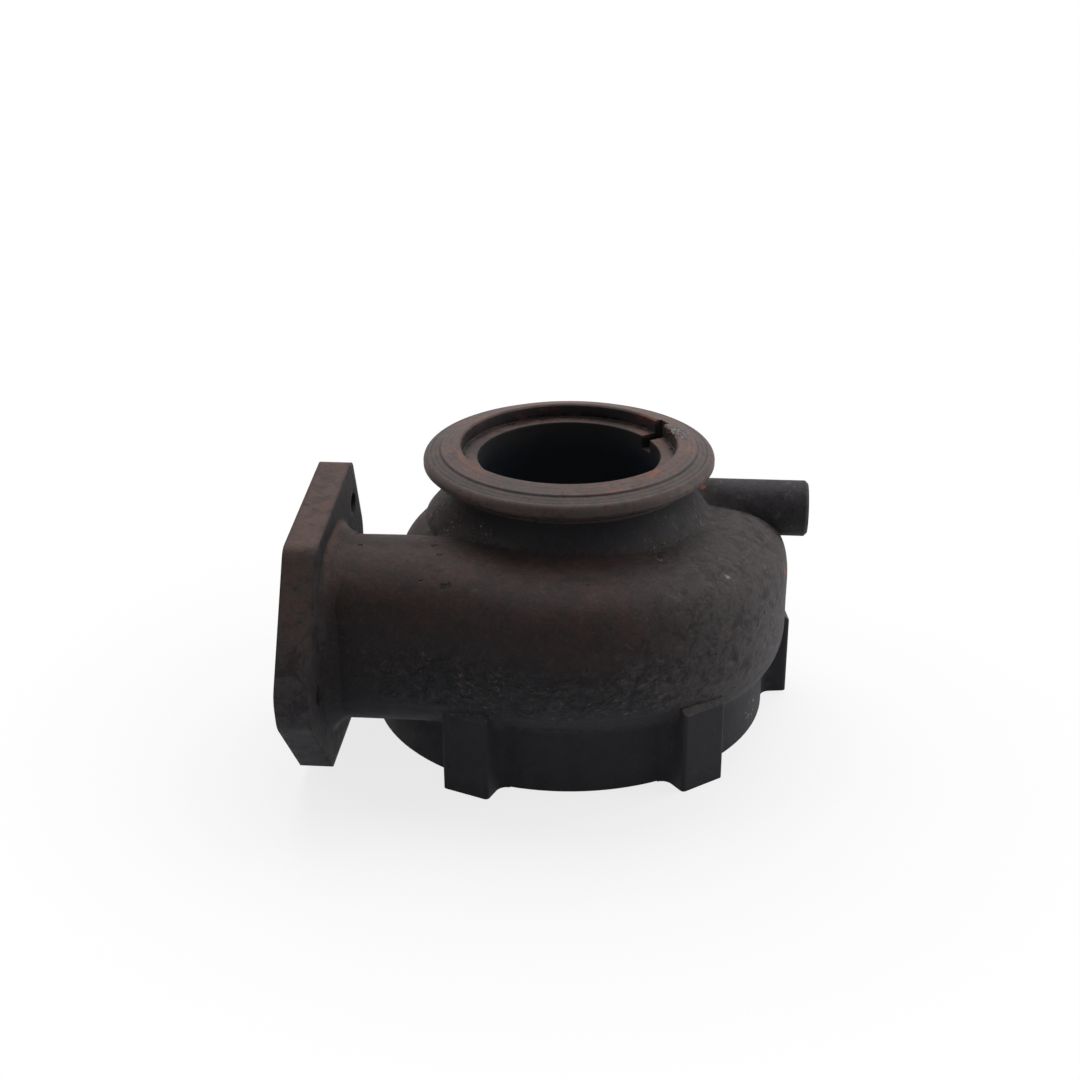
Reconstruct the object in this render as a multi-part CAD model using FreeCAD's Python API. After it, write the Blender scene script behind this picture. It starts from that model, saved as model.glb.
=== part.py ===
import FreeCAD, Part
import math
import os
from collections import namedtuple

# Turbine housing of a variable-nozzle turbocharger: one sand casting in iron.
# Frame: the turbine axis is Z, the machined foot of the drum lies on z = 0 with
# the centre-housing side below, the exhaust outlet opens up at +Z, the inlet
# flange faces -X, and the gas turns anticlockwise seen from above.  Millimetres.

V = FreeCAD.Vector
Z = V(0, 0, 1)

# drum that takes the centre housing and the nozzle ring
drum_r = 64.2
drum_top = 29.0
drum_edge = 0.4
pilot_r = 53.0
pilot_depth = 13.0
nozzle_r = 46.0
nozzle_top = 38.0
lead_in = 0.8

# bosses round the foot, each tapped for a clamp bolt
boss_count = 6
boss_angle = 8.4
boss_width = 15.4
boss_reach = 72.4
boss_top = 28.0
boss_bevel = 1.8
boss_round = 1.2
boss_root = 3.5
boss_foot_r = 55.0
boss_bolt_circle_r = 64.5
boss_tap_r = 3.4
boss_tap_depth = 18.0

# outlet neck and its clamp-ring rim
outlet_r = 29.0
neck_r = 39.6
neck_flare = 10.0
neck_flare_turn = 40.0
rim_r = 46.0
rim_top = 89.0
rim_step_r = 40.4
rim_step_drop = 1.35
rim_step = 0.5
rim_land_r = 43.6
rim_land_drop = 2.8
rim_nose_drop = 4.8
rim_nose = 1.2
rim_edge = 0.7
rim_back_drop = 10.4
seat_r = 34.0
seat_depth = 4.7
seat_lip = 0.9

# locating notch through the seat of the outlet
notch_angle = 34.0
notch_width = 4.6
notch_reach = 36.3
notch_floor = 9.0

# volute: outer wall, shrinking along the turn
wall = 6.0
volute_half = 55.0
volute_end = 212.0
volute_r = 75.0
volute_fall = 12.4
volute_fall_more = 10.3
volute_floor = 18.0
volute_floor_rise = 8.0
volute_floor_dip = 14.0
volute_shoulder = 65.5
volute_shoulder_fall = 13.0
volute_root = 70.0
volute_root_fall = 8.0
volute_round = 19.0
volute_round_fall = 5.0
volute_heel = 24.0
volute_heel_ease = 0.5
volute_core_r = 36.0
core_round = 4.5
turn_steps = 5

# gas passage inside the volute, which stays above the centre housing's pilot
passage_floor = 25.0
passage_heel = 12.0
passage_end = 197.0

# inlet duct and its port
duct_y = -42.0
duct_z = 43.1
duct_width = 46.0
duct_height = 54.4
duct_round = 18.0
port_round = 13.0
duct_end = -44.0
blend_steps = 4
volute_start = math.degrees(math.atan2(duct_y, 0))

# inlet flange with three tapped holes
flange_x = -78.0
flange_thick = 10.0
flange_top = 84.2
flange_slope = 5.6
flange_foot = 4.0
flange_near = -87.5
flange_far = 3.0
far_corner_y = -8.0
near_top_y = -64.0
near_foot_y = -62.0
ear_top = 42.0
ear_foot = 32.0
ear_lean = 1.5
far_foot_z = 19.0
far_top_z = 58.0
top_round = 5.0
ear_round = 9.0
foot_round = 3.0
far_foot_round = 6.0
far_side_round = 8.0
far_top_round = 12.0
near_bolt_y = -73.5
near_bolt_z = 36.5
far_bolt_y = -10.5
top_bolt_z = 70.0
foot_bolt_z = 16.0
flange_bolt_r = 3.4
flange_root = 5.0

# cast lug beside the neck, tapped in its end
lug_r = 9.1
lug_y = 15.0
lug_z = 61.6
lug_end = 77.0
lug_start = 30.0
lug_tap_r = 3.4
lug_tap_depth = 14.0
lug_edge = 1.0


# the scroll is drawn twice, as its outer skin and as the gas passage inside it
Skin = namedtuple("Skin", "inset corner end floor dip heel")
outer_skin = Skin(0.0, duct_round, volute_end, volute_floor, volute_floor_dip, volute_heel)
gas_skin = Skin(wall, port_round, passage_end, passage_floor, 0.0, passage_heel)


def rounded(points, radii):
    """Closed wire through the corners, each corner rounded by its radius."""
    n = len(points)
    starts = []
    arcs = []
    for i in range(n):
        corner = points[i]
        back = (points[i - 1] - corner).normalize()
        ahead = (points[(i + 1) % n] - corner).normalize()
        half = back.getAngle(ahead) / 2
        reach = radii[i] / math.tan(half)
        middle = (back + ahead).normalize()
        a = corner + back * reach
        b = corner + ahead * reach
        m = corner + middle * (radii[i] / math.sin(half) - radii[i])
        starts.append((a, b))
        arcs.append(Part.Arc(a, m, b).toShape())
    edges = []
    for i in range(n):
        edges.append(arcs[i])
        edges.append(Part.LineSegment(starts[i][1], starts[(i + 1) % n][0]).toShape())
    return Part.Wire(edges)


def revolved(profile):
    """Solid of revolution about the turbine axis from (radius, z) corners."""
    wire = Part.makePolygon([V(r, 0, z) for r, z in profile + profile[:1]])
    return Part.Face(wire).revolve(V(0, 0, 0), Z, 360)


def progress(angle):
    return (angle - volute_start) / (volute_end - volute_start)


def volute_reach(angle):
    t = progress(angle)
    return volute_r - volute_fall * t - volute_fall_more * t * t


def radial(angle, r, z):
    a = math.radians(angle)
    return V(r * math.cos(a), r * math.sin(a), z)


def volute_outline(angle, skin):
    """Corners (reach, height) and radii of the volute's section for one skin."""
    t = progress(angle)
    turned = min(t / progress(volute_half), 1) ** 2
    out = volute_reach(angle) - skin.inset
    low = skin.floor + volute_floor_rise * turned - skin.dip * math.sin(math.pi * turned)
    shoulder = volute_shoulder - volute_shoulder_fall * t - skin.inset
    root = volute_root - volute_root_fall * t - skin.inset * 1.4
    room = out - volute_core_r
    crown = min(volute_round - volute_round_fall * t - 0.7 * skin.inset, 0.66 * room)
    heel = min(skin.heel * (1 - volute_heel_ease * turned), 0.66 * room)
    core = min(core_round, 0.15 * room)
    corners = [(volute_core_r, low), (out, low), (out, shoulder), (volute_core_r, root)]
    return corners, [core, heel, crown, core]


def duct_outline(skin, grow=0.0):
    """The same for the inlet duct, whose reach is counted towards -Y, made larger by grow."""
    inset = skin.inset - grow
    near = -duct_y + duct_width / 2 - inset
    far = -duct_y - duct_width / 2 + inset
    foot = duct_z - duct_height / 2 + inset
    head = duct_z + duct_height / 2 - inset
    return [(far, foot), (near, foot), (near, head), (far, head)], [skin.corner + grow] * 4


def stops_round(points, radii):
    """Points on the rounded outline: both ends and the middle of each bend, and the middle of each side."""
    stops = []
    for k, edge in enumerate(rounded(points, radii).OrderedEdges):
        first, last = edge.ParameterRange
        shares = (0.0, 0.5, 1.0) if k % 2 == 0 else (0.5,)
        stops += [edge.valueAt(first + (last - first) * share) for share in shares]
    return stops


def shared_marks(sections):
    """Curve parameters of the stops, from their mean spacing over all the sections."""
    marks = [0.0]
    count = len(sections[0])
    for k in range(count):
        gaps = [(stops[(k + 1) % count] - stops[k]).Length for stops in sections]
        marks.append(marks[-1] + sum(gaps) / len(gaps))
    return marks


def lofted(sections, marks):
    """Solid through closed smooth curves, one through each section's stops."""
    rings = []
    for stops in sections:
        curve = Part.BSplineCurve()
        curve.interpolate(Points=stops, PeriodicFlag=True, Parameters=marks)
        rings.append(Part.Wire([curve.toShape()]))
    return Part.makeLoft(rings, True, False)


def volute_section(angle, skin):
    corners, radii = volute_outline(angle, skin)
    return stops_round([radial(angle, r, z) for r, z in corners], radii)


def duct_section(x, skin, grow=0.0):
    corners, radii = duct_outline(skin, grow)
    return stops_round([V(x, -reach, z) for reach, z in corners], radii)


def blended_section(x, share, skin):
    """Section between the straight duct (share 0) and the start of the volute (share 1)."""
    ducts, duct_radii = duct_outline(skin)
    starts, start_radii = volute_outline(volute_start, skin)
    corners = [V(x, -(a[0] + (b[0] - a[0]) * share), a[1] + (b[1] - a[1]) * share)
               for a, b in zip(ducts, starts)]
    return stops_round(corners, [a + (b - a) * share for a, b in zip(duct_radii, start_radii)])


def scroll(x0, skin):
    """Duct and front of the scroll, then its tail: the outer body or the gas passage."""
    front = [duct_section(x0, skin), duct_section((x0 + duct_end) / 2, skin)]
    for i in range(blend_steps):
        share = i / blend_steps
        eased = share * share * (3 - 2 * share)
        front.append(blended_section(duct_end * (1 - share), eased, skin))
    for i in range(turn_steps + 1):
        front.append(volute_section(volute_start + (volute_half - volute_start) * i / turn_steps, skin))
    tail = []
    for i in range(turn_steps + 1):
        tail.append(volute_section(volute_half + (skin.end - volute_half) * i / turn_steps, skin))
    marks = shared_marks(front + tail)
    return [lofted(front, marks), lofted(tail, marks)]


def drum():
    edge = drum_edge
    return revolved([(0, 0), (drum_r - edge, 0), (drum_r, edge), (drum_r, drum_top), (0, drum_top)])


def boss():
    """Block with a rounded nose and a bevelled top edge in front."""
    half = boss_width / 2
    plan = rounded([V(boss_foot_r, -half, 0), V(boss_reach, -half, 0), V(boss_reach, half, 0),
                    V(boss_foot_r, half, 0)], [boss_round] * 4)
    bevel_foot = boss_top - boss_bevel
    side = [V(boss_foot_r - 1, 0, -1), V(boss_reach + 1, 0, -1), V(boss_reach + 1, 0, bevel_foot),
            V(boss_reach, 0, bevel_foot), V(boss_reach - boss_bevel, 0, boss_top),
            V(boss_foot_r - 1, 0, boss_top)]
    face = Part.Face(Part.makePolygon(side + side[:1]))
    face.translate(V(0, -boss_width, 0))
    return Part.Face(plan).extrude(V(0, 0, boss_top)).common(face.extrude(V(0, boss_width * 2, 0)))


def boss_hollow(hand):
    """Hollow fillet between the drum and one side of a boss; hand is 1 or -1."""
    half = boss_width / 2
    centre = V(math.sqrt((drum_r + boss_root) ** 2 - (half + boss_root) ** 2), half + boss_root, 0)
    on_drum = centre * (drum_r / (drum_r + boss_root))
    on_boss = V(centre.x, half, 0)
    middle = centre + ((on_drum - centre) + (on_boss - centre)).normalize() * boss_root
    sunk = V(on_drum.x - boss_round, half - boss_round, 0)
    points = [V(p.x, p.y * hand, 0) for p in (on_drum, middle, on_boss, V(on_boss.x, sunk.y, 0), sunk)]
    edges = [Part.Arc(*points[:3]).toShape()] + Part.makePolygon(points[2:] + points[:1]).Edges
    return Part.Face(Part.Wire(edges)).extrude(V(0, 0, boss_top - boss_bevel))


def bosses():
    pieces = []
    for i in range(boss_count):
        for piece in (boss(), boss_hollow(1), boss_hollow(-1)):
            pieces.append(piece.rotate(V(0, 0, 0), Z, boss_angle + 360.0 * i / boss_count))
    return pieces


def neck():
    """Outlet neck with its clamp-ring rim, flared where it leaves the volute."""
    nose_top = rim_top - rim_nose_drop
    nose_foot = nose_top - rim_nose
    land = rim_top - rim_land_drop
    step = rim_top - rim_step_drop
    back = rim_top - rim_back_drop
    base = (pilot_depth + drum_top) / 2
    turn = math.radians(neck_flare_turn)
    flare_z = volute_root + neck_flare * math.sin(turn) - 0.5
    high = V(neck_r, 0, flare_z)
    bend = high + V(neck_flare * (1 - math.cos(turn / 2)), 0, -neck_flare * math.sin(turn / 2))
    low = high + V(neck_flare * (1 - math.cos(turn)), 0, -neck_flare * math.sin(turn))
    root = low + V(math.sin(turn), 0, -math.cos(turn)) * neck_flare * 0.6
    bulge = V(rim_r - rim_edge, 0, (land + nose_top + rim_edge) / 2)
    nose = [V(rim_land_r, 0, land), bulge, V(rim_r, 0, nose_top)]
    corners = [V(rim_land_r, 0, land), V(rim_step_r + rim_step, 0, step - rim_step),
               V(rim_step_r, 0, step), V(seat_r, 0, rim_top), V(0, 0, rim_top),
               V(0, 0, base), V(neck_r, 0, base), V(neck_r, 0, root.z - 5), root, low]
    under = [high, V(neck_r, 0, back), V(rim_r - rim_edge, 0, nose_foot - rim_edge),
             V(rim_r, 0, nose_foot), nose[2]]
    edges = Part.makePolygon(under).Edges + [Part.Arc(nose[2], nose[1], nose[0]).toShape()]
    edges += Part.makePolygon(corners).Edges + [Part.Arc(low, bend, high).toShape()]
    return Part.Face(Part.Wire(edges)).revolve(V(0, 0, 0), Z, 360)


def flange_plate():
    corners = [(far_corner_y, flange_top), (near_top_y, flange_top - flange_slope),
               (flange_near, ear_top), (flange_near + ear_lean, ear_foot), (near_foot_y, flange_foot),
               (far_corner_y, flange_foot), (flange_far, far_foot_z), (flange_far, far_top_z)]
    radii = [top_round, top_round, ear_round, ear_round, foot_round, far_foot_round, far_side_round,
             far_top_round]
    wire = rounded([V(flange_x, y, z) for y, z in corners], radii)
    return Part.Face(wire).extrude(V(flange_thick, 0, 0))


def flange_collar():
    """Cast fillet between the flange and the duct."""
    x = flange_x + flange_thick
    steps = ((-0.1, 1.0), (0.3, 0.38), (1.0, 0.0))
    rings = [duct_section(x + flange_root * run, outer_skin, flange_root * rise) for run, rise in steps]
    return lofted(rings, shared_marks(rings))


def lug():
    """Round lug along +X with a bevelled end, its foot sunk in the neck."""
    edge = lug_edge
    side = [V(lug_start, 0, 0), V(lug_end, 0, 0), V(lug_end, 0, lug_r - edge),
            V(lug_end - edge, 0, lug_r), V(lug_start, 0, lug_r)]
    face = Part.Face(Part.makePolygon(side + side[:1]))
    body = face.revolve(V(0, 0, 0), V(1, 0, 0), 360)
    body.translate(V(0, lug_y, lug_z))
    return body


def outlet_space():
    """Seat for the pipe's pilot, outlet bore, nozzle space and centre-housing pilot."""
    seat_z = rim_top - seat_depth
    return revolved([(0, -1), (pilot_r + lead_in + 1, -1), (pilot_r, lead_in), (pilot_r, pilot_depth),
                     (nozzle_r, pilot_depth), (nozzle_r, nozzle_top), (outlet_r, nozzle_top),
                     (outlet_r, seat_z), (seat_r, seat_z), (seat_r, rim_top - seat_lip),
                     (seat_r + seat_lip + 1, rim_top + 1), (0, rim_top + 1)])


def notch():
    length = notch_reach - outlet_r + 4
    block = Part.makeBox(length, notch_width, notch_floor + 1)
    block.translate(V(outlet_r - 4, -notch_width / 2, rim_top - notch_floor))
    return block.rotate(V(0, 0, 0), Z, notch_angle)


def taps():
    holes = []
    for i in range(boss_count):
        spot = radial(boss_angle + 360.0 * i / boss_count, boss_bolt_circle_r, 0)
        holes.append(Part.makeCylinder(boss_tap_r, boss_tap_depth, spot))
    bolts = ((near_bolt_y, near_bolt_z), (far_bolt_y, top_bolt_z), (far_bolt_y, foot_bolt_z))
    for y, z in bolts:
        holes.append(Part.makeCylinder(flange_bolt_r, flange_thick + 2, V(flange_x - 1, y, z), V(1, 0, 0)))
    holes.append(Part.makeCylinder(lug_tap_r, lug_tap_depth, V(lug_end, lug_y, lug_z), V(-1, 0, 0)))
    return holes


def housing():
    outer = scroll(flange_x + flange_thick - 1, outer_skin)
    body = drum().multiFuse([neck(), flange_plate(), flange_collar(), lug()] + bosses() + outer)
    return body.cut(scroll(flange_x - 1, gas_skin) + [outlet_space(), notch()] + taps())


os.makedirs("parts", exist_ok=True)
shape = housing()
print("solids", len(shape.Solids), "valid", shape.isValid(), "volume", round(shape.Volume / 1000, 1), "cm3")
shape.exportStep("parts/turbine_housing.step")
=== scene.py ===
"""Looks of a turbocharger's turbine housing: worn, rusted cast iron in soft studio light."""

import math

import bpy
from bpy.props import FloatProperty, FloatVectorProperty, PointerProperty
from mathutils import Matrix, Vector


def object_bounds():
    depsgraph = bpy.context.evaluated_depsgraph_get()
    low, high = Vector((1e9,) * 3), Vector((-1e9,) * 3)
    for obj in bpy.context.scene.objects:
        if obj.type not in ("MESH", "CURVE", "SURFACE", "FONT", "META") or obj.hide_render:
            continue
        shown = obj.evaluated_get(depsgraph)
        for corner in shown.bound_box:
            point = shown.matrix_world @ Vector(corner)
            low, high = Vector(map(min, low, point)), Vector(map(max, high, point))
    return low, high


bl_info = {
    "name": "Turbine Housing Looks",
    "version": (1, 0, 0),
    "blender": (4, 5, 0),
    "location": "View3D > Sidebar > Turbine Housing",
    "description": "Finishes the casting of a turbine housing and sets it in studio light",
    "category": "Object",
}

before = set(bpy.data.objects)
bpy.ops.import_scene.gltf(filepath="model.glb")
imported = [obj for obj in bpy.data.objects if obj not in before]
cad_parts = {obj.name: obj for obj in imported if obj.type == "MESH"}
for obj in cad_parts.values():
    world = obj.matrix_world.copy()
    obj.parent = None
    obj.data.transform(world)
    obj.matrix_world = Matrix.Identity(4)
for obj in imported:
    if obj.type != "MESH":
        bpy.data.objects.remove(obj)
CAD_BOX = [list(corner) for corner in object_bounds()]
HOUSING = "turbine_housing"
MM = 0.001
LUG_AXIS = (0.0150, 0.0616)  # Y and Z of the lug, which points along +X

# marks on the skin: X, Y and Z of the middle, and the radius
PITS = (
    (-0.0373, -0.0412, 0.0703, 0.0012),
    (-0.0350, -0.0468, 0.0700, 0.0011),
    (-0.0324, -0.0596, 0.0659, 0.0013),
    (-0.0310, -0.0594, 0.0661, 0.0011),
    (-0.0690, -0.0320, 0.0700, 0.0010),
)
NOTCH_RUST = (
    (0.0338, 0.0130, 0.0874, 0.0046),
    (0.0350, 0.0075, 0.0874, 0.0040),
    (0.0325, 0.0145, 0.0845, 0.0044),
)
ORANGE_SPECKS = (
    (0.0428, 0.0111, 0.0698, 0.0012),
    (0.0693, -0.0102, 0.0504, 0.0014),
    (0.0210, 0.0560, 0.0520, 0.0013),
    (-0.0340, 0.0500, 0.0440, 0.0011),
    (-0.0560, -0.0140, 0.0560, 0.0010),
)
WHITE_SPECKS = (
    (0.0503, -0.0405, 0.0627, 0.0009),
    (0.0470, -0.0440, 0.0620, 0.0008),
    (0.0521, -0.0372, 0.0640, 0.0008),
    (0.0110, -0.0690, 0.0440, 0.0010),
)
# patches of pale grit that are partly painted glints
GRIT_AND_GLINT_PATCHES = (
    (-0.0350, -0.0249, 0.0682, 0.0070),
    (-0.0247, -0.0329, 0.0705, 0.0060),
    (0.0284, -0.0327, 0.0679, 0.0050),
    (0.0300, -0.0389, 0.0669, 0.0032),
    (0.0419, -0.0109, 0.0679, 0.0050),
    (-0.0402, -0.0102, 0.0701, 0.0090),
    (0.0599, -0.0230, 0.0071, 0.0060),
    (0.0395, 0.0050, 0.0680, 0.0040),
)

# radius and half width of the dark lines that the cutter left in the rim
RIM_LINES = (
    (0.0407, 0.00045),
    (0.0436, 0.00040),
    (0.0422, 0.00018),
    (0.0388, 0.00022),
    (0.0372, 0.00020),
)

# height of what stands on the skin, and depth of what is sunk into it
DENT_DEPTH = 0.03 * MM
BELLY_DENT_DEPTH = 0.45 * MM
LUMP_HEIGHT = 0.30 * MM
GRIT_HEIGHT = 0.20 * MM
PIT_DEPTH = 0.45 * MM
GROOVE_PITCH = 0.45 * MM  # from one groove of the cutter to the next
GROOVE_HEIGHT = 0.0035 * MM

SPOT_CORE = 0.45  # share of a mark's radius that it covers in full
STREAK_LENGTH = 6 * MM  # noise per radian round the rim: little, so that the streaks run long
HOLLOW_REACH = 14 * MM  # how far a hollow's other walls may be for it to gather soot and painted shade
IRON_IOR = 1.26

# floor: white as seen near the part, and where it turns pure white, from the turbine axis
NEAR_WHITE = 0.79
WHITE_FROM = 0.09
WHITE_TO = 0.21
FLOOR_GAP = 0.02 * MM

# softboxes: the point that they face, their places, widths and depths
LIT_POINT = (0.0, 0.0, 0.05)
TOP_PLACE = (0.0, 0.36, 0.68)
LEFT_PLACE = (-0.75, 0.05, 0.40)
RIGHT_PLACE = (0.72, 0.16, 0.34)
TOP_SIZE = (0.8, 0.6)
SIDE_SIZE = (0.5, 0.5)
RIGHT_POWER = 3  # power of the right softbox over that of the left one


def named_colour(name, description, default):
    return FloatVectorProperty(name=name, description=description, subtype="COLOR", size=3,
                               min=0.0, max=1.0, default=default)


def length(name, description, default):
    return FloatProperty(name=name, description=description, unit="LENGTH", subtype="DISTANCE",
                         min=0.0, default=default)


def share(name, description, default):
    return FloatProperty(name=name, description=description, subtype="FACTOR",
                         min=0.0, max=1.0, default=default)


def angle(name, description, degrees):
    return FloatProperty(name=name, description=description, unit="ROTATION", subtype="ANGLE",
                         default=math.radians(degrees))


def coordinate(name, description, default):
    return FloatProperty(name=name, description=description, unit="LENGTH", default=default)


def power(name, description, default):
    return FloatProperty(name=name, description=description, unit="POWER", default=default)


class CastingSettings(bpy.types.PropertyGroup):
    """Colours and grain of the iron."""
    iron: named_colour("Iron", "Grey-brown of the scaled iron", (0.026, 0.0215, 0.0222))
    # dry iron, and also painted light: the paler grey laid on the right side where the light falls
    dry_and_lit_iron: named_colour("Dry iron", "Paler grey of the side away from the inlet", (0.052, 0.0462, 0.0475))
    blued: named_colour("Blued iron", "Cool grey of the drum and the neck", (0.0190, 0.0180, 0.0228))
    soot: named_colour("Soot", "Black of the shaded and sooted iron", (0.0060, 0.0056, 0.0066))
    bore_mouth: named_colour("Bore mouth", "Greyer scale where the bore starts", (0.0165, 0.0165, 0.0180))
    # blue-black of the belly stains, and of the painted shade deep in the bore
    bore: named_colour("Bore", "Blue-black scale inside the outlet", (0.0030, 0.0056, 0.0092))
    rust: named_colour("Rust", "Brown bloom on faces that look up", (0.0425, 0.0242, 0.0220))
    rim_rust: named_colour("Rim rust", "Brown film on the rim, its seat and the top of the flange",
                           (0.090, 0.055, 0.047))
    fresh_rust: named_colour("Fresh rust", "Orange specks and streaks", (0.26, 0.075, 0.035))
    # pale grit, also the colour of the painted glints
    grit_and_glint: named_colour("Grit", "Pale grains burnt into the skin", (0.20, 0.18, 0.165))
    scale: named_colour("Scale", "Paler flakes of scale", (0.092, 0.078, 0.077))
    bare: named_colour("Bare iron", "Grey of the rubbed edges", (0.072, 0.065, 0.066))
    edge: length("Edge", "Radius of the cast and broken edges", 0.0007)
    flange_edge: length("Flange edge", "Radius of the flange's edges", 0.0028)
    fillet: length("Fillet", "Softness of the hollow at the foot of the neck", 0.0045)
    grain: length("Grain", "Width of one grain of the sand-cast skin", 0.0013)
    grain_depth: length("Grain depth", "Height of the sand-cast grain", 0.00016)
    wave_depth: length("Wave depth", "Height of the slow unevenness of the skin", 0.0003)


class StageSettings(bpy.types.PropertyGroup):
    """Camera and studio light."""
    camera_x: coordinate("Camera X", "Camera place along X", 0.03423)
    camera_y: coordinate("Camera Y", "Camera place along Y", -0.4895)
    camera_z: coordinate("Camera Z", "Camera height", 0.2811)
    camera_turn: angle("Camera turn", "Turn of the view to the left of +Y", 5.09)
    camera_pitch: angle("Camera pitch", "How far the view looks down", 24.78)
    camera_roll: angle("Camera roll", "Roll of the picture", -0.40)
    lens: FloatProperty(name="Lens", description="Focal length in millimetres", default=55.57)
    top_light: power("Top light", "Power of the overhead softbox", 5.2)
    side_light: power("Side light", "Power of the left softbox", 1.0)
    sky: share("Sky", "Level of the even light from all round", 0.17)


class Sheet:
    """Nodes of one material or world, added by short calls that return output sockets."""

    def __init__(self, owner):
        self.owner = owner
        owner.use_nodes = True
        self.tree = owner.node_tree
        self.tree.nodes.clear()

    def node(self, kind, **values):
        made = self.tree.nodes.new(kind)
        for key, value in values.items():
            setattr(made, key, value)
        return made

    def join(self, source, target):
        if isinstance(source, bpy.types.NodeSocket):
            self.tree.links.new(source, target)
        else:
            target.default_value = source

    def maths(self, operation, a, b=0.0, c=0.0, clamp=False):
        made = self.node("ShaderNodeMath", operation=operation, use_clamp=clamp)
        for socket, value in zip(made.inputs, (a, b, c)):
            self.join(value, socket)
        return made.outputs[0]

    def times(self, a, b, clamp=False):
        return self.maths("MULTIPLY", a, b, clamp=clamp)

    def plus(self, a, b, clamp=False):
        return self.maths("ADD", a, b, clamp=clamp)

    def minus(self, a, b):
        return self.maths("SUBTRACT", a, b)

    def rest(self, part):
        """What a share leaves of 1."""
        return self.maths("SUBTRACT", 1.0, part)

    def most(self, a, b):
        return self.maths("MAXIMUM", a, b)

    def split(self, colour):
        """Red, green and blue of a colour."""
        made = self.node("ShaderNodeSeparateColor")
        self.join(colour, made.inputs[0])
        return made.outputs

    def step(self, value, low, high):
        """Smooth step from 0 at low to 1 at high."""
        made = self.node("ShaderNodeMapRange", interpolation_type="SMOOTHSTEP")
        self.join(value, made.inputs["Value"])
        self.join(low, made.inputs["From Min"])
        self.join(high, made.inputs["From Max"])
        return made.outputs["Result"]

    def mix(self, share_of_b, a, b):
        made = self.node("ShaderNodeMix", data_type="RGBA")
        self.join(share_of_b, made.inputs["Factor"])
        self.join(a, made.inputs["A"])
        self.join(b, made.inputs["B"])
        return made.outputs["Result"]

    def lay(self, under, colour, share_of_colour):
        """A colour laid over what is under it, by its share."""
        return self.mix(share_of_colour, under, rgba(colour))

    def noise(self, place, width, detail=3.0, roughness=0.55, distortion=0.0):
        """Noise from 0 to 1 whose features are about width across."""
        made = self.node("ShaderNodeTexNoise")
        self.join(place, made.inputs["Vector"])
        made.inputs["Scale"].default_value = 1.0 / width
        made.inputs["Detail"].default_value = detail
        made.inputs["Roughness"].default_value = roughness
        made.inputs["Distortion"].default_value = distortion
        return made.outputs["Fac"]

    def cells(self, place, width):
        """Distance to the middle of the nearest cell, and that cell's own random colour."""
        made = self.node("ShaderNodeTexVoronoi")
        self.join(place, made.inputs["Vector"])
        made.inputs["Scale"].default_value = 1.0 / width
        return made.outputs["Distance"], made.outputs["Color"]

    def warped(self, place, width, reach):
        """The place shifted by up to half of reach, so that what is drawn with it comes out irregular."""
        noise = self.node("ShaderNodeTexNoise")
        self.join(place, noise.inputs["Vector"])
        noise.inputs["Scale"].default_value = 1.0 / width
        centred = self.node("ShaderNodeVectorMath", operation="SUBTRACT")
        self.join(noise.outputs["Color"], centred.inputs[0])
        centred.inputs[1].default_value = (0.5, 0.5, 0.5)
        shift = self.node("ShaderNodeVectorMath", operation="MULTIPLY_ADD")
        self.join(centred.outputs[0], shift.inputs[0])
        shift.inputs[1].default_value = (reach, reach, reach)
        self.join(place, shift.inputs[2])
        return shift.outputs[0]


def rgba(colour):
    return (*colour, 1.0)


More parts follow.
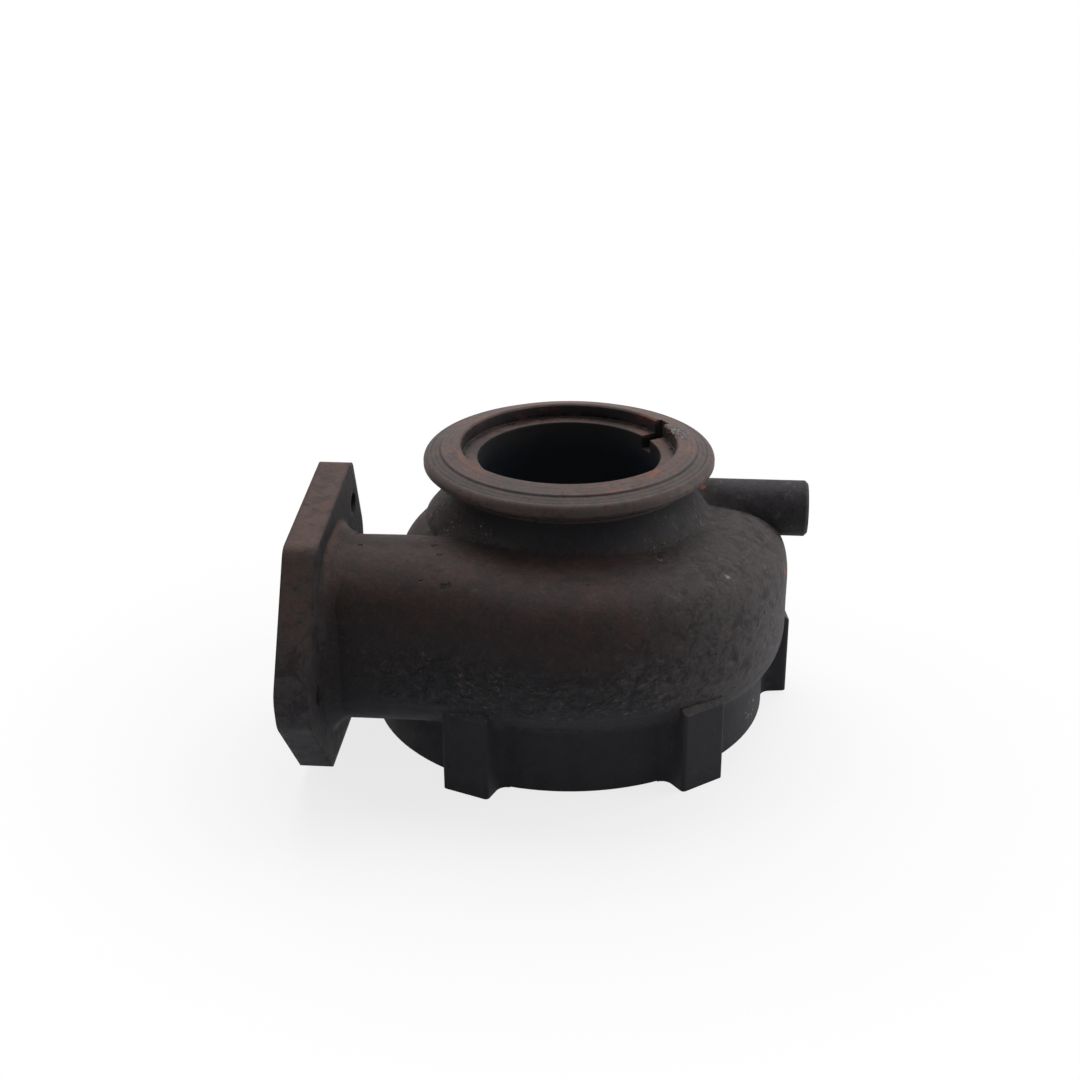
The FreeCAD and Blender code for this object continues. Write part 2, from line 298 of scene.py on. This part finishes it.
def skin_masks(s, place):
    """Shares of each kind of skin, such as the turned rim, the neck or the drum.

    Each step runs from no share to the full one, in metres along an axis or from the turbine axis,
    and in the part's own frame.
    """
    axes = s.node("ShaderNodeSeparateXYZ")
    s.join(place, axes.inputs[0])
    x, y, z = axes.outputs
    facing = s.node("ShaderNodeSeparateXYZ")
    s.join(s.node("ShaderNodeNewGeometry").outputs["Normal"], facing.inputs[0])
    radius = s.maths("SQRT", s.plus(s.times(x, x), s.times(y, y)))
    wander = s.times(s.minus(s.noise(place, 0.006, 3.0, 0.6), 0.5), 0.010)
    loose_z = s.plus(z, wander)
    loose_r = s.plus(radius, wander)
    lug_y = s.minus(y, LUG_AXIS[0])
    lug_z = s.minus(z, LUG_AXIS[1])
    lug_distance = s.maths("SQRT", s.plus(s.times(lug_y, lug_y), s.times(lug_z, lug_z)))
    inside = s.step(radius, 0.0348, 0.0342)
    high = s.step(z, 0.0778, 0.0790)
    return {
        "x": x, "y": y, "z": z, "radius": radius, "up": facing.outputs["Z"],
        "forward": s.step(facing.outputs["Y"], -0.35, -0.85),
        "seat_corner": s.times(s.times(s.step(loose_r, 0.0300, 0.0350), s.step(radius, 0.0348, 0.0343)),
                               s.times(s.step(z, 0.0832, 0.0838), s.step(z, 0.0868, 0.0848))),
        "bore": s.times(s.step(radius, 0.0298, 0.0292), s.step(z, 0.0850, 0.0835)),
        "seat": s.times(inside, s.times(s.step(z, 0.0832, 0.0838), s.step(z, 0.0884, 0.0878))),
        "rim": s.times(s.times(high, s.step(radius, 0.0500, 0.0480)), s.rest(inside)),
        "land": s.times(s.step(z, 0.0868, 0.0874), s.step(radius, 0.0408, 0.0400)),
        "neck": s.times(s.times(s.step(loose_r, 0.0475, 0.0430), s.step(z, 0.0785, 0.0775)),
                        s.times(s.step(loose_z, 0.0665, 0.0715), s.step(x, -0.0360, -0.0220))),
        "flank": s.times(s.step(x, -0.0220, -0.0330), s.step(radius, 0.0600, 0.0540)),
        "neck_root": s.times(s.times(s.step(radius, 0.0600, 0.0540), s.step(z, 0.0765, 0.0745)),
                             s.times(s.step(z, 0.0590, 0.0620), s.step(radius, 0.0365, 0.0375))),
        "drum_root": s.times(s.times(s.step(radius, 0.0720, 0.0690), s.step(radius, 0.0600, 0.0630)),
                             s.times(s.step(z, 0.0040, 0.0070), s.step(z, 0.0330, 0.0290))),
        "drum": s.times(s.step(z, 0.0270, 0.0200), s.step(radius, 0.0675, 0.0650)),
        "boss": s.times(s.step(radius, 0.0655, 0.0690), s.step(z, 0.0290, 0.0275)),
        "belly": s.times(s.times(s.step(loose_z, 0.0260, 0.0330), s.step(loose_z, 0.0500, 0.0430)),
                         s.times(s.step(x, 0.0450, 0.0200), s.step(x, -0.0640, -0.0400))),
        "low": s.step(loose_z, 0.0500, 0.0270),
        "flange": s.step(x, -0.0655, -0.0675),
        "lug": s.times(s.step(x, 0.046, 0.050), s.step(lug_distance, 0.0098, 0.0093)),
        "right": s.step(s.plus(x, wander), 0.008, 0.048),
        "back_left": s.times(s.step(y, -0.022, -0.008), s.step(x, -0.015, -0.032)),
    }


def spots(s, place, marks, ragged):
    """1 on each of the marks, whose edges are as ragged as told."""
    total = 0.0
    for x, y, z, radius in marks:
        gap = s.node("ShaderNodeVectorMath", operation="DISTANCE")
        s.join(place, gap.inputs[0])
        gap.inputs[1].default_value = (x, y, z)
        inside = s.step(s.plus(gap.outputs["Value"], ragged), radius, radius * SPOT_CORE)
        total = s.most(total, inside)
    return total


def iron_colour(s, settings, place, m, worn, hollow_soot_and_shade):
    """Base colour of the casting, built up from the scaled iron to its specks."""
    patches = s.noise(place, 0.030, 4.0, 0.6)
    mottle = s.noise(place, 0.0045, 5.0, 0.68, 0.6)
    blotches = s.noise(place, 0.0085, 3.0, 0.6, 1.2)
    flakes = s.noise(place, 0.0026, 4.0, 0.7, 0.8)
    fine = s.noise(place, 0.0010, 3.0, 0.65)
    turned = s.most(m["rim"], s.most(m["bore"], m["seat"]))
    plain = s.most(m["drum"], m["boss"])
    calm = s.rest(s.most(turned, s.times(plain, 0.8)))

    # scaled iron: sooted, blued and dry patches, and painted light, a paler grey, on the right side
    tone = s.mix(s.step(mottle, 0.28, 0.72), rgba(settings.soot), rgba(settings.iron))
    tone = s.lay(tone, settings.blued, s.times(s.step(blotches, 0.48, 0.66), 0.55))
    # painted light: the right side is laid paler grey where the light from the right falls
    dry_and_lit = s.times(m["right"], s.step(mottle, 0.36, 0.56))
    dry_and_lit = s.most(dry_and_lit, s.times(s.times(m["flange"], m["forward"]), s.step(blotches, 0.60, 0.42)))
    tone = s.lay(tone, settings.dry_and_lit_iron, dry_and_lit)

    # brown bloom on what looks up, thick on the duct and on the top of the flange
    bloom = s.plus(s.step(m["up"], -0.25, 0.85), s.times(s.minus(patches, 0.5), 1.9))
    bloom = s.times(bloom, s.rest(s.times(m["right"], 0.75)), clamp=True)
    bloom = s.plus(bloom, s.times(m["flank"], 0.80), clamp=True)
    bloom = s.times(bloom, s.step(m["z"], 0.030, 0.058))
    bloom = s.times(bloom, s.rest(s.times(s.times(m["flange"], m["forward"]), 0.85)))
    thick = s.plus(0.35, s.times(s.step(blotches, 0.36, 0.60), 0.60))
    tone = s.lay(tone, settings.rust, s.times(bloom, thick))
    crown = s.times(s.times(m["flange"], s.step(m["up"], 0.40, 0.60)), s.step(m["z"], 0.048, 0.062))
    tone = s.lay(tone, settings.rim_rust, s.times(crown, s.step(mottle, 0.30, 0.60)))
    shaded = s.times(m["low"], s.minus(0.55, s.times(m["right"], 0.35)))
    tone = s.lay(tone, settings.blued, shaded)
    tone = s.lay(tone, settings.blued, s.times(plain, 0.85))
    tone = s.lay(tone, settings.blued, s.times(s.most(m["neck"], s.times(m["lug"], 0.8)), 0.75))
    # soot, and painted shadow of the rim: the neck is laid darker towards the rim that overhangs it
    sooted_and_shadowed = s.plus(0.15, s.times(s.step(m["z"], 0.0690, 0.0770), 0.5))
    tone = s.lay(tone, settings.soot, s.times(m["neck"], sooted_and_shadowed))

    # the rough band round the belly, stained from blue-black to brown
    stains = s.noise(place, 0.0036, 3.0, 0.6, 0.9)
    tone = s.lay(tone, settings.bore, s.times(m["belly"], s.times(s.step(stains, 0.52, 0.38), 0.75)))
    tone = s.lay(tone, settings.scale, s.times(m["belly"], s.times(s.step(stains, 0.56, 0.66), 0.35)))

    # flakes of scale, darker and paler than their surroundings
    spotted = s.plus(0.22, s.times(m["right"], 0.38))
    tone = s.lay(tone, settings.soot, s.times(s.step(flakes, 0.47, 0.33), s.times(calm, spotted)))
    pale = s.times(s.step(flakes, 0.55, 0.70), s.times(calm, s.minus(spotted, s.times(m["neck"], 0.20))))
    tone = s.lay(tone, settings.scale, pale)
    # painted shade, with soot, laid dark in the hollows
    tone = s.lay(tone, settings.soot, s.times(hollow_soot_and_shade, 0.75))

    # turned rim: the cutter's lines, a brown film on the inner land and streaks of fresh rust
    ring = s.node("ShaderNodeCombineXYZ")
    turn = s.maths("ARCTAN2", m["y"], m["x"])
    s.join(s.times(turn, STREAK_LENGTH), ring.inputs[0])
    s.join(m["radius"], ring.inputs[1])
    s.join(s.times(m["z"], 0.5), ring.inputs[2])
    streak = s.noise(ring.outputs[0], 0.0016, 4.0, 0.7)
    tone = s.lay(tone, settings.dry_and_lit_iron, s.times(m["rim"], s.step(mottle, 0.32, 0.52)))
    browned = s.plus(0.28, s.times(s.step(blotches, 0.44, 0.60), 0.45))
    tone = s.lay(tone, settings.rim_rust, s.times(m["rim"], browned))
    for line, width in RIM_LINES:
        near = s.maths("ABSOLUTE", s.minus(m["radius"], line))
        line_mask = s.times(s.times(s.step(near, width, width * 0.3), m["rim"]), s.step(streak, 0.25, 0.60))
        tone = s.lay(tone, settings.soot, s.times(line_mask, 0.85))
    wall = s.times(m["seat"], s.step(m["radius"], 0.0332, 0.0338))
    open_rust = s.most(m["land"], s.times(m["seat"], s.rest(s.times(wall, 0.75))))
    film = s.times(open_rust, s.step(patches, 0.30, 0.62))
    film = s.times(film, s.step(blotches, 0.25, 0.55))
    tone = s.lay(tone, settings.rim_rust, s.times(film, 0.85))
    stain = s.times(turned, s.times(s.step(flakes, 0.50, 0.34), s.step(blotches, 0.40, 0.60)))
    tone = s.lay(tone, settings.soot, s.times(stain, 0.60))
    tone = s.lay(tone, settings.blued, s.times(wall, 0.55))
    orange = s.times(open_rust, s.step(streak, 0.50, 0.66))
    orange = s.times(orange, s.times(s.step(mottle, 0.40, 0.56), s.step(patches, 0.38, 0.54)))
    tone = s.lay(tone, settings.fresh_rust, s.times(orange, 0.55))
    tone = s.lay(tone, settings.soot, s.times(m["seat_corner"], s.times(s.step(blotches, 0.30, 0.60), 0.7)))
    scab = spots(s, place, NOTCH_RUST, s.times(s.minus(mottle, 0.5), 0.006))
    tone = s.lay(tone, settings.soot, s.times(scab, 0.85))
    tone = s.lay(tone, settings.rust, s.times(scab, s.times(s.step(fine, 0.44, 0.58), 0.6)))
    # painted glints: pale specks on the wet rust by the notch
    tone = s.lay(tone, settings.grit_and_glint, s.times(scab, s.step(fine, 0.57, 0.62)))
    tone = s.lay(tone, settings.bore_mouth, s.times(m["bore"], 0.85))
    # burnt scale, and painted shade: the bore is laid blue-black, darker deeper down
    burnt = s.times(m["bore"], s.step(s.plus(m["z"], s.times(blotches, 0.008)), 0.0875, 0.0775))
    tone = s.lay(tone, settings.bore, s.times(burnt, 0.95))

    # crumbs of pale grit: in the patches, on the belly, behind the volute and on the bosses; in the patches
    # they are partly painted glints
    ragged = s.times(s.minus(s.noise(place, 0.0030, 3.0), 0.5), 0.0070)
    patch = spots(s, place, GRIT_AND_GLINT_PATCHES, ragged)
    # painted highlight: the tops of the bosses, which face up, are laid paler with scale; grit crumbs gather
    # on them as well
    boss_top_grit_and_highlight = s.times(m["boss"], s.times(s.step(m["z"], 0.0245, 0.0268), s.step(m["up"], 0.15, 0.50)))
    tone = s.lay(tone, settings.scale, s.times(boss_top_grit_and_highlight, 0.60))
    ledge = s.times(boss_top_grit_and_highlight, s.step(flakes, 0.36, 0.52))
    behind = s.times(m["back_left"], s.step(m["z"], 0.045, 0.060))
    strewn = s.times(s.most(m["belly"], behind), s.step(s.noise(place, 0.007, 3.0), 0.46, 0.60))
    crowd = s.most(s.most(patch, ledge), s.times(strewn, 0.75))
    crowd = s.most(crowd, s.times(m["right"], s.times(s.step(s.noise(place, 0.010, 3.0), 0.55, 0.68), 0.5)))
    crumbs = s.noise(place, 0.0013, 3.0, 0.75)
    grit_and_glint = s.times(crowd, s.step(crumbs, 0.56, 0.66))
    grit_and_glint = s.times(grit_and_glint, s.rest(turned))
    tone = s.lay(tone, settings.soot, s.times(s.times(crowd, s.step(crumbs, 0.46, 0.36)), 0.7))
    tone = s.lay(tone, settings.grit_and_glint, s.times(grit_and_glint, s.plus(0.10, s.times(s.most(patch, fine), 0.75))))
    tone = s.lay(tone, settings.grit_and_glint, s.times(s.step(fine, 0.52, 0.80), s.times(calm, 0.07)))
    tone = s.lay(tone, settings.soot, s.times(s.step(fine, 0.50, 0.24), s.times(calm, 0.45)))

    # worn edges, then the single specks
    tone = s.lay(tone, settings.bare, s.times(worn, 0.55))
    torn = s.times(s.minus(s.noise(place, 0.0012, 3.0), 0.5), 0.0022)
    tone = s.lay(tone, settings.fresh_rust, s.times(spots(s, place, ORANGE_SPECKS, torn), 0.85))
    tone = s.lay(tone, settings.grit_and_glint, spots(s, place, WHITE_SPECKS, torn))
    return tone, mottle, s.most(grit_and_glint, s.times(scab, s.step(fine, 0.44, 0.60))), spots(s, place, PITS, torn)


def iron_height(s, settings, place, m, grit_and_glint, marked):
    """Height of the skin in metres, the share of it that lies in a pit, and the share that is turned."""
    sand = s.noise(place, settings.grain, 4.0, 0.62)
    wave = s.noise(place, 0.009, 2.0, 0.5)
    dents = s.noise(place, 0.0038, 3.0, 0.6, 0.5)
    shaken = s.warped(place, 0.0022, 0.0022)
    lumps, lump_chance = s.cells(shaken, 0.0030)
    lumps = s.times(s.step(lumps, 0.60, 0.0), s.step(s.split(lump_chance)[2], 0.35, 0.75))
    pit_distance, pit_chance = s.cells(shaken, 0.0052)
    pit = s.times(s.step(pit_distance, 0.17, 0.05), s.step(s.split(pit_chance)[1], 0.86, 0.88))
    turned = s.most(m["rim"], s.most(m["seat"], m["bore"]))
    cast = s.rest(s.times(turned, 0.90))
    plain = s.most(m["drum"], s.most(m["boss"], s.times(m["flange"], 0.6)))
    plain = s.most(plain, m["neck"])
    cast = s.times(cast, s.rest(s.times(plain, 0.6)))
    coarse = s.most(m["belly"], m["back_left"])
    pit = s.most(s.times(pit, s.step(plain, 0.6, 0.2)), marked)
    height = s.times(sand, settings.grain_depth)
    height = s.times(height, s.plus(0.7, s.times(coarse, 0.8)))
    height = s.plus(height, s.times(wave, settings.wave_depth))
    rough = s.plus(DENT_DEPTH, s.times(m["belly"], BELLY_DENT_DEPTH))
    height = s.plus(height, s.times(s.step(dents, 0.34, 0.62), rough))
    height = s.plus(height, s.times(s.times(lumps, m["belly"]), LUMP_HEIGHT))
    height = s.plus(height, s.times(grit_and_glint, GRIT_HEIGHT))
    height = s.minus(height, s.times(pit, PIT_DEPTH))
    grooves = s.maths("SINE", s.times(m["radius"], 2 * math.pi / GROOVE_PITCH))
    grooves = s.times(grooves, s.times(m["rim"], GROOVE_HEIGHT))
    return s.plus(s.times(height, cast), grooves), s.times(pit, cast), turned


def make_iron(settings):
    """Cast iron that has rusted on top, with turned rims and a sooted bore."""
    s = Sheet(bpy.data.materials.new("scaled_cast_iron"))
    place = s.node("ShaderNodeTexCoord").outputs["Object"]
    m = skin_masks(s, place)

    # rounded edges, and how far they turn away from the flat faces
    soft = s.node("ShaderNodeBevel", samples=5)
    hollow_foot = s.most(m["neck_root"], s.times(m["drum_root"], 0.8))
    fillet = s.most(s.times(hollow_foot, settings.fillet), s.times(m["flange"], settings.flange_edge))
    s.join(s.most(fillet, settings.edge), soft.inputs["Radius"])
    true_normal = s.node("ShaderNodeNewGeometry").outputs["Normal"]
    turned_away = s.node("ShaderNodeVectorMath", operation="DOT_PRODUCT")
    s.join(soft.outputs[0], turned_away.inputs[0])
    s.join(true_normal, turned_away.inputs[1])
    rubbed = s.step(s.noise(place, 0.0025, 3.0), 0.35, 0.60)
    worn = s.times(s.step(turned_away.outputs["Value"], 0.995, 0.93), rubbed)

    # soot and dust, and painted shade, darken the hollows where little light comes in
    hollow = s.node("ShaderNodeAmbientOcclusion", samples=4)
    hollow.inputs["Distance"].default_value = HOLLOW_REACH
    hollow_soot_and_shade = s.step(hollow.outputs["AO"], 0.62, 0.18)

    tone, mottle, grit_and_glint, marked = iron_colour(s, settings, place, m, worn, hollow_soot_and_shade)
    height, pit, turned = iron_height(s, settings, place, m, grit_and_glint, marked)
    tone = s.lay(tone, settings.soot, s.times(pit, 0.85))
    bump = s.node("ShaderNodeBump")
    bump.inputs["Strength"].default_value = 1.0
    bump.inputs["Distance"].default_value = 1.0
    s.join(height, bump.inputs["Height"])
    s.join(soft.outputs[0], bump.inputs["Normal"])
    matt = s.plus(0.50, s.times(mottle, 0.38))
    matt = s.minus(matt, s.times(turned, 0.12))
    wet = s.times(m["seat_corner"], s.step(s.noise(place, 0.0040, 3.0), 0.46, 0.56))
    matt = s.minus(matt, s.plus(s.times(wet, 0.40), s.times(grit_and_glint, 0.26)))
    shader = s.node("ShaderNodeBsdfPrincipled")
    shader.inputs["Metallic"].default_value = 0.0
    shader.inputs["IOR"].default_value = IRON_IOR
    s.join(tone, shader.inputs["Base Color"])
    s.join(matt, shader.inputs["Roughness"])
    s.join(bump.outputs[0], shader.inputs["Normal"])
    out = s.node("ShaderNodeOutputMaterial")
    s.join(shader.outputs[0], out.inputs["Surface"])
    return s.owner


class TURBINE_OT_casting(bpy.types.Operator):
    """Gives the housing its iron skin"""
    bl_idname = "turbine.casting"
    bl_label = "Finish the Casting"

    def execute(self, context):
        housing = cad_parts[HOUSING]
        housing.data.materials.clear()
        housing.data.materials.append(make_iron(context.scene.turbine_casting))
        return {"FINISHED"}


def seen_white(s):
    """1 for the rays that see the background: from the camera, a reflection or a transmission."""
    rays = s.node("ShaderNodeLightPath")
    seen = s.most(rays.outputs["Is Camera Ray"], rays.outputs["Is Glossy Ray"])
    return s.most(seen, rays.outputs["Is Transmission Ray"])


def make_floor_material():
    """White floor that keeps the object's soft shadow near it and turns pure white farther out."""
    s = Sheet(bpy.data.materials.new("white_floor"))
    place = s.node("ShaderNodeTexCoord").outputs["Object"]
    away = s.node("ShaderNodeVectorMath", operation="LENGTH")
    s.join(place, away.inputs[0])
    far = s.step(away.outputs["Value"], WHITE_FROM, WHITE_TO)
    white = s.plus(NEAR_WHITE, s.times(far, 1.0 - NEAR_WHITE))
    diffuse = s.node("ShaderNodeBsdfDiffuse")
    diffuse.inputs["Color"].default_value = (0.90, 0.90, 0.90, 1.0)
    glow = s.node("ShaderNodeEmission")
    glow.inputs["Color"].default_value = (1.0, 1.0, 1.0, 1.0)
    blend = s.node("ShaderNodeMixShader")
    s.join(s.times(seen_white(s), white), blend.inputs[0])
    s.join(diffuse.outputs[0], blend.inputs[1])
    s.join(glow.outputs[0], blend.inputs[2])
    out = s.node("ShaderNodeOutputMaterial")
    s.join(blend.outputs[0], out.inputs["Surface"])
    return s.owner


def make_floor():
    """Flat floor under the foot of the housing."""
    half = 1.5
    mesh = bpy.data.meshes.new("floor")
    corners = [(-half, -half, 0), (half, -half, 0), (half, half, 0), (-half, half, 0)]
    mesh.from_pydata(corners, [], [(0, 1, 2, 3)])
    floor = bpy.data.objects.new("floor", mesh)
    floor.location.z = CAD_BOX[0][2] - FLOOR_GAP
    mesh.materials.append(make_floor_material())
    bpy.context.scene.collection.objects.link(floor)


def make_world(level):
    """Even light from all round, and white where the camera or a reflection sees it."""
    world = bpy.data.worlds.new("studio")
    bpy.context.scene.world = world
    s = Sheet(world)
    strength = s.plus(level, s.times(seen_white(s), 1.0 - level))
    light = s.node("ShaderNodeBackground")
    light.inputs["Color"].default_value = (1.0, 1.0, 1.0, 1.0)
    s.join(strength, light.inputs["Strength"])
    out = s.node("ShaderNodeOutputWorld")
    s.join(light.outputs[0], out.inputs["Surface"])


def make_softbox(name, power, place, size):
    """Rectangular lamp at place that faces the lit point."""
    lamp = bpy.data.lights.new(name, "AREA")
    lamp.shape = "RECTANGLE"
    lamp.energy = power
    lamp.size = size[0]
    lamp.size_y = size[1]
    made = bpy.data.objects.new(name, lamp)
    made.location = place
    facing = Vector(LIT_POINT) - Vector(place)
    made.rotation_euler = facing.to_track_quat("-Z", "Y").to_euler()
    bpy.context.scene.collection.objects.link(made)


def make_camera(settings):
    lens = bpy.data.cameras.new("camera")
    lens.sensor_width = 36.0
    lens.lens = settings.lens
    lens.clip_start = 0.01
    camera = bpy.data.objects.new("camera", lens)
    turn = Matrix.Rotation(settings.camera_turn, 4, "Z")
    tilt = Matrix.Rotation(math.pi / 2 - settings.camera_pitch, 4, "X")
    roll = Matrix.Rotation(settings.camera_roll, 4, "Z")
    camera.matrix_world = turn @ tilt @ roll
    camera.location = (settings.camera_x, settings.camera_y, settings.camera_z)
    bpy.context.scene.collection.objects.link(camera)
    bpy.context.scene.camera = camera


class TURBINE_OT_stage(bpy.types.Operator):
    """Sets up the floor, the light and the camera"""
    bl_idname = "turbine.stage"
    bl_label = "Set the Stage"

    def execute(self, context):
        settings = context.scene.turbine_stage
        context.scene.view_settings.view_transform = "Standard"
        make_floor()
        make_world(settings.sky)
        make_softbox("softbox_top", settings.top_light, TOP_PLACE, TOP_SIZE)
        make_softbox("softbox_left", settings.side_light, LEFT_PLACE, SIDE_SIZE)
        make_softbox("softbox_right", settings.side_light * RIGHT_POWER, RIGHT_PLACE, SIDE_SIZE)
        make_camera(settings)
        return {"FINISHED"}


class TURBINE_PT_panel(bpy.types.Panel):
    """Lists the steps that finish and light the housing"""
    bl_idname = "TURBINE_PT_panel"
    bl_label = "Turbine Housing"
    bl_space_type = "VIEW_3D"
    bl_region_type = "UI"
    bl_category = "Turbine Housing"

    def draw(self, context):
        for operator in OPERATORS:
            self.layout.operator(operator.bl_idname)


OPERATORS = (TURBINE_OT_casting, TURBINE_OT_stage)
CLASSES = (CastingSettings, StageSettings) + OPERATORS + (TURBINE_PT_panel,)


def register():
    for item in CLASSES:
        bpy.utils.register_class(item)
    bpy.types.Scene.turbine_casting = PointerProperty(type=CastingSettings)
    bpy.types.Scene.turbine_stage = PointerProperty(type=StageSettings)


def unregister():
    del bpy.types.Scene.turbine_stage
    del bpy.types.Scene.turbine_casting
    for item in reversed(CLASSES):
        bpy.utils.unregister_class(item)


def main():
    register()
    bpy.ops.turbine.casting()
    bpy.ops.turbine.stage()


if __name__ == "__main__":
    main()
